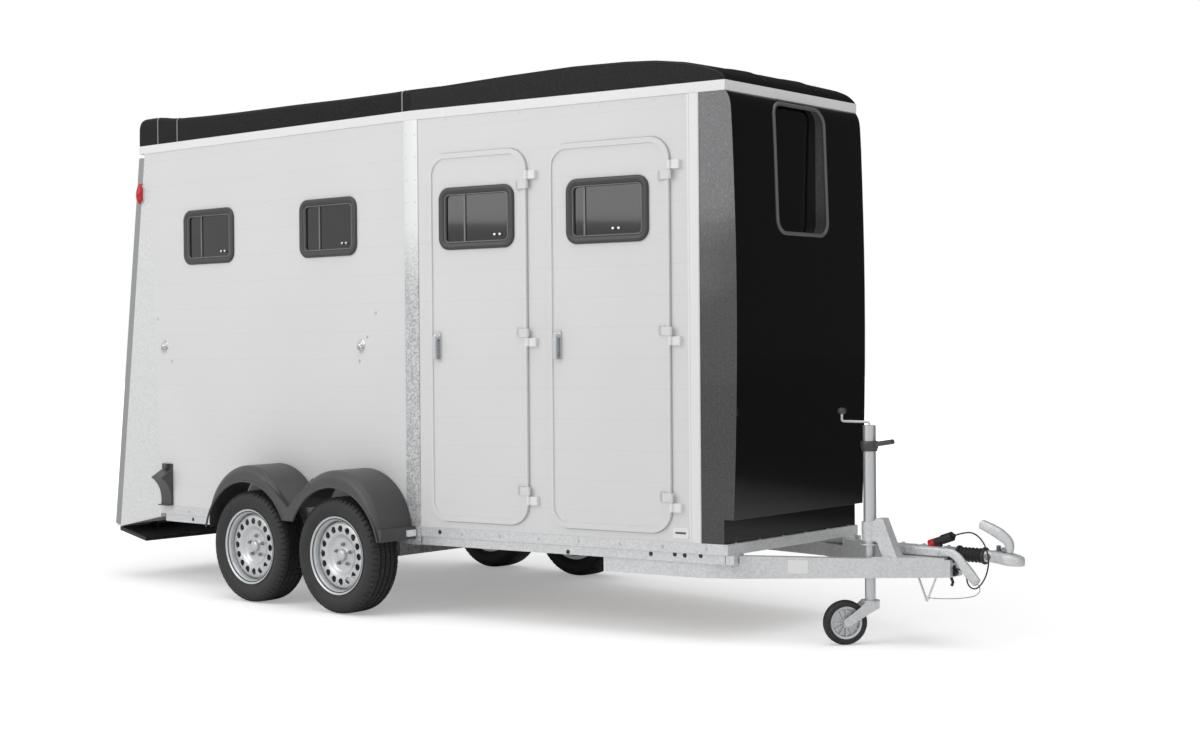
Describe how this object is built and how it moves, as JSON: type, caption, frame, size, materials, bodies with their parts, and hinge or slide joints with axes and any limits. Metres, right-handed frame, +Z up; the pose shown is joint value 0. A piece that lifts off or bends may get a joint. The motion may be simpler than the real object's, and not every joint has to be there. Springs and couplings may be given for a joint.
{
  "type": "horse trailer",
  "caption": "Tandem-axle horse trailer with aluminium plank walls, moulded nose and roof, side doors, rear ramp and jockey stand on a galvanised chassis.",
  "frame": {"origin": "on the ground, in the middle of the trailer's length and width", "axes": "+X towards the hitch, +Y to the trailer's left, +Z up"},
  "size_m": [5.774, 2.164, 2.8204],
  "materials": {
    "galvanised_steel": "hot-dip galvanised",
    "aluminium_plank": "anodised, satin",
    "white_gelcoat": "white, satin",
    "black_gelcoat": "black flaked gelcoat, glossy",
    "moulded_plastic": "grained, matt",
    "black_paint": "powder coated",
    "rubber": "matt",
    "tyre": "matt",
    "wheel_paint": "silver, satin",
    "tinted_glass": "grey tint",
    "red_lens": "clear red lens",
    "clear_lens": "clear lens",
    "chrome": "polished",
    "plywood": "sealed ply"
  },
  "bodies": {
    "root": {"axle_front": "galvanised_steel", "axle_rear": "galvanised_steel", "breakaway_cable": "rubber", "bulkhead": "plywood", "bumper_plate": "black_paint", "cap_rail": "white_gelcoat", "chassis_frame": "galvanised_steel", "chock_holders": "moulded_plastic", "coupling_bellows": "rubber", "coupling_handle": "chrome", "coupling_head": "galvanised_steel", "door_wall_hinges": "white_gelcoat", "drawbar": "galvanised_steel", "floor_panel": "plywood", "handbrake_lever": "galvanised_steel", "jockey_clamp": "galvanised_steel", "jockey_crank": "galvanised_steel", "jockey_grip": "rubber", "jockey_outer_tube": "galvanised_steel", "marker_lamps": "clear_lens", "mudguard_left": "moulded_plastic", "mudguard_right": "moulded_plastic", "nose_shell": "black_gelcoat", "overrun_device": "galvanised_steel", "partition": "plywood", "power_cable": "rubber", "power_plug": "rubber", "rear_frame": "galvanised_steel", "rear_lamps": "red_lens", "roof_front": "black_gelcoat", "roof_rear": "black_gelcoat", "side_wall_left_front": "aluminium_plank", "side_wall_left_rear": "aluminium_plank", "side_wall_right_front": "aluminium_plank", "side_wall_right_rear": "aluminium_plank", "wall_posts": "galvanised_steel", "wheel_chocks": "moulded_plastic", "window_frames": "moulded_plastic", "window_glass": "tinted_glass"},
    "rear_door": {"rear_door_leaf": "aluminium_plank", "rear_door_window_frame": "moulded_plastic", "rear_door_window_glass": "tinted_glass", "rear_door_handle": "chrome"},
    "front_door": {"front_door_leaf": "aluminium_plank", "front_door_window_frame": "moulded_plastic", "front_door_window_glass": "tinted_glass", "front_door_handle": "chrome"},
    "ramp": {"ramp": "aluminium_plank"},
    "wheel_front_right": {"tyre_front_right": "tyre", "wheel_front_right": "wheel_paint"},
    "wheel_rear_right": {"tyre_rear_right": "tyre", "wheel_rear_right": "wheel_paint"},
    "wheel_front_left": {"tyre_front_left": "tyre", "wheel_front_left": "wheel_paint"},
    "wheel_rear_left": {"tyre_rear_left": "tyre", "wheel_rear_left": "wheel_paint"},
    "jockey_slider": {"jockey_inner_tube": "galvanised_steel"},
    "jockey_swivel": {"jockey_fork": "galvanised_steel"},
    "jockey_roller": {"jockey_wheel": "galvanised_steel", "jockey_tyre": "tyre"}
  },
  "joints": [
    {"name": "rear_door_hinge", "type": "hinge", "parent": "root", "child": "rear_door", "pos_m": [0.55826, -0.7447, 1.45], "axis": [0, 0, 1], "range_deg": [0, 160]},
    {"name": "front_door_hinge", "type": "hinge", "parent": "root", "child": "front_door", "pos_m": [1.38128, -0.63733, 1.45], "axis": [0, 0, 1], "range_deg": [0, 160]},
    {"name": "ramp_hinge", "type": "hinge", "parent": "root", "child": "ramp", "pos_m": [-2.87044, 0, 0.3], "axis": [0, -1, 0], "range_deg": [0, 104.9]},
    {"name": "wheel_front_right_spin", "type": "hinge", "parent": "root", "child": "wheel_front_right", "pos_m": [-0.54, -0.97, 0.31], "axis": [0, 1, 0], "continuous": true},
    {"name": "wheel_rear_right_spin", "type": "hinge", "parent": "root", "child": "wheel_rear_right", "pos_m": [-1.26, -0.97, 0.31], "axis": [0, 1, 0], "continuous": true},
    {"name": "wheel_front_left_spin", "type": "hinge", "parent": "root", "child": "wheel_front_left", "pos_m": [-0.54, 0.97, 0.31], "axis": [0, 1, 0], "continuous": true},
    {"name": "wheel_rear_left_spin", "type": "hinge", "parent": "root", "child": "wheel_rear_left", "pos_m": [-1.26, 0.97, 0.31], "axis": [0, 1, 0], "continuous": true},
    {"name": "jockey_wind", "type": "slide", "parent": "root", "child": "jockey_slider", "axis": [0, 0, 1], "range_m": [0, 0.1]},
    {"name": "jockey_turn", "type": "hinge", "parent": "jockey_slider", "child": "jockey_swivel", "pos_m": [2.174, -0.143, 0.2], "axis": [0, 0, 1], "continuous": true},
    {"name": "jockey_roll", "type": "hinge", "parent": "jockey_swivel", "child": "jockey_roller", "pos_m": [2.09365, -0.23876, 0.105], "axis": [0.766, -0.6428, 0], "continuous": true}
  ]
}
